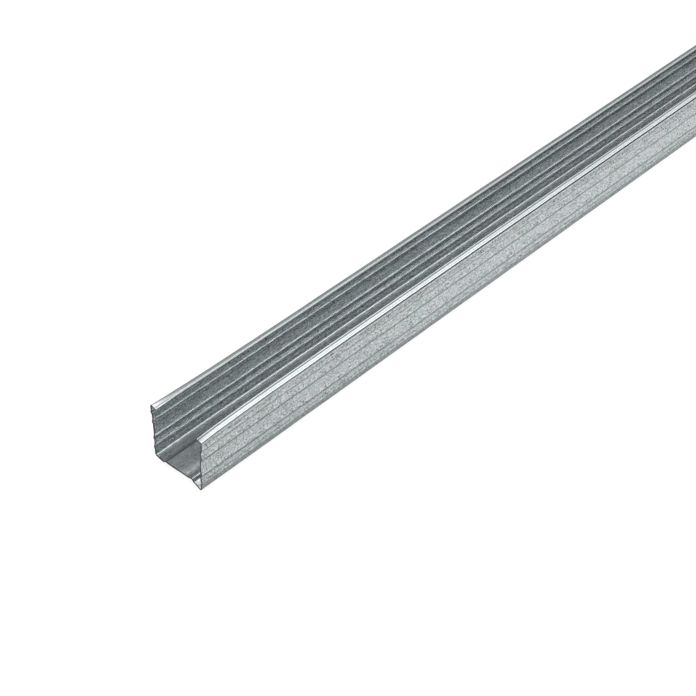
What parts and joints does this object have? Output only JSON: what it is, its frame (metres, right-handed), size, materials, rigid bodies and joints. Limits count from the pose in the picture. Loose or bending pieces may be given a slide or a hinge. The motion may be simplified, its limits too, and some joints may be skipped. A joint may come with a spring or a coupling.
{
  "type": "metal stud",
  "caption": "C-shaped stud rolled from thin galvanised sheet, with a raised web panel, beaded flanges and lips turned inwards, for framing a light partition wall.",
  "frame": {"origin": "under the middle of the web, halfway along the length, in the plane that the stud rests on", "axes": "+X along the stud, +Y across the web, +Z from the web towards the open side between the lips"},
  "size_m": [2.6, 0.0506, 0.05],
  "materials": {
    "galvanised_steel": "galvanised, half dull, with a fine rolled pattern on the flanges"
  },
  "bodies": {
    "root": {"c_stud": "galvanised_steel"}
  },
  "joints": []
}
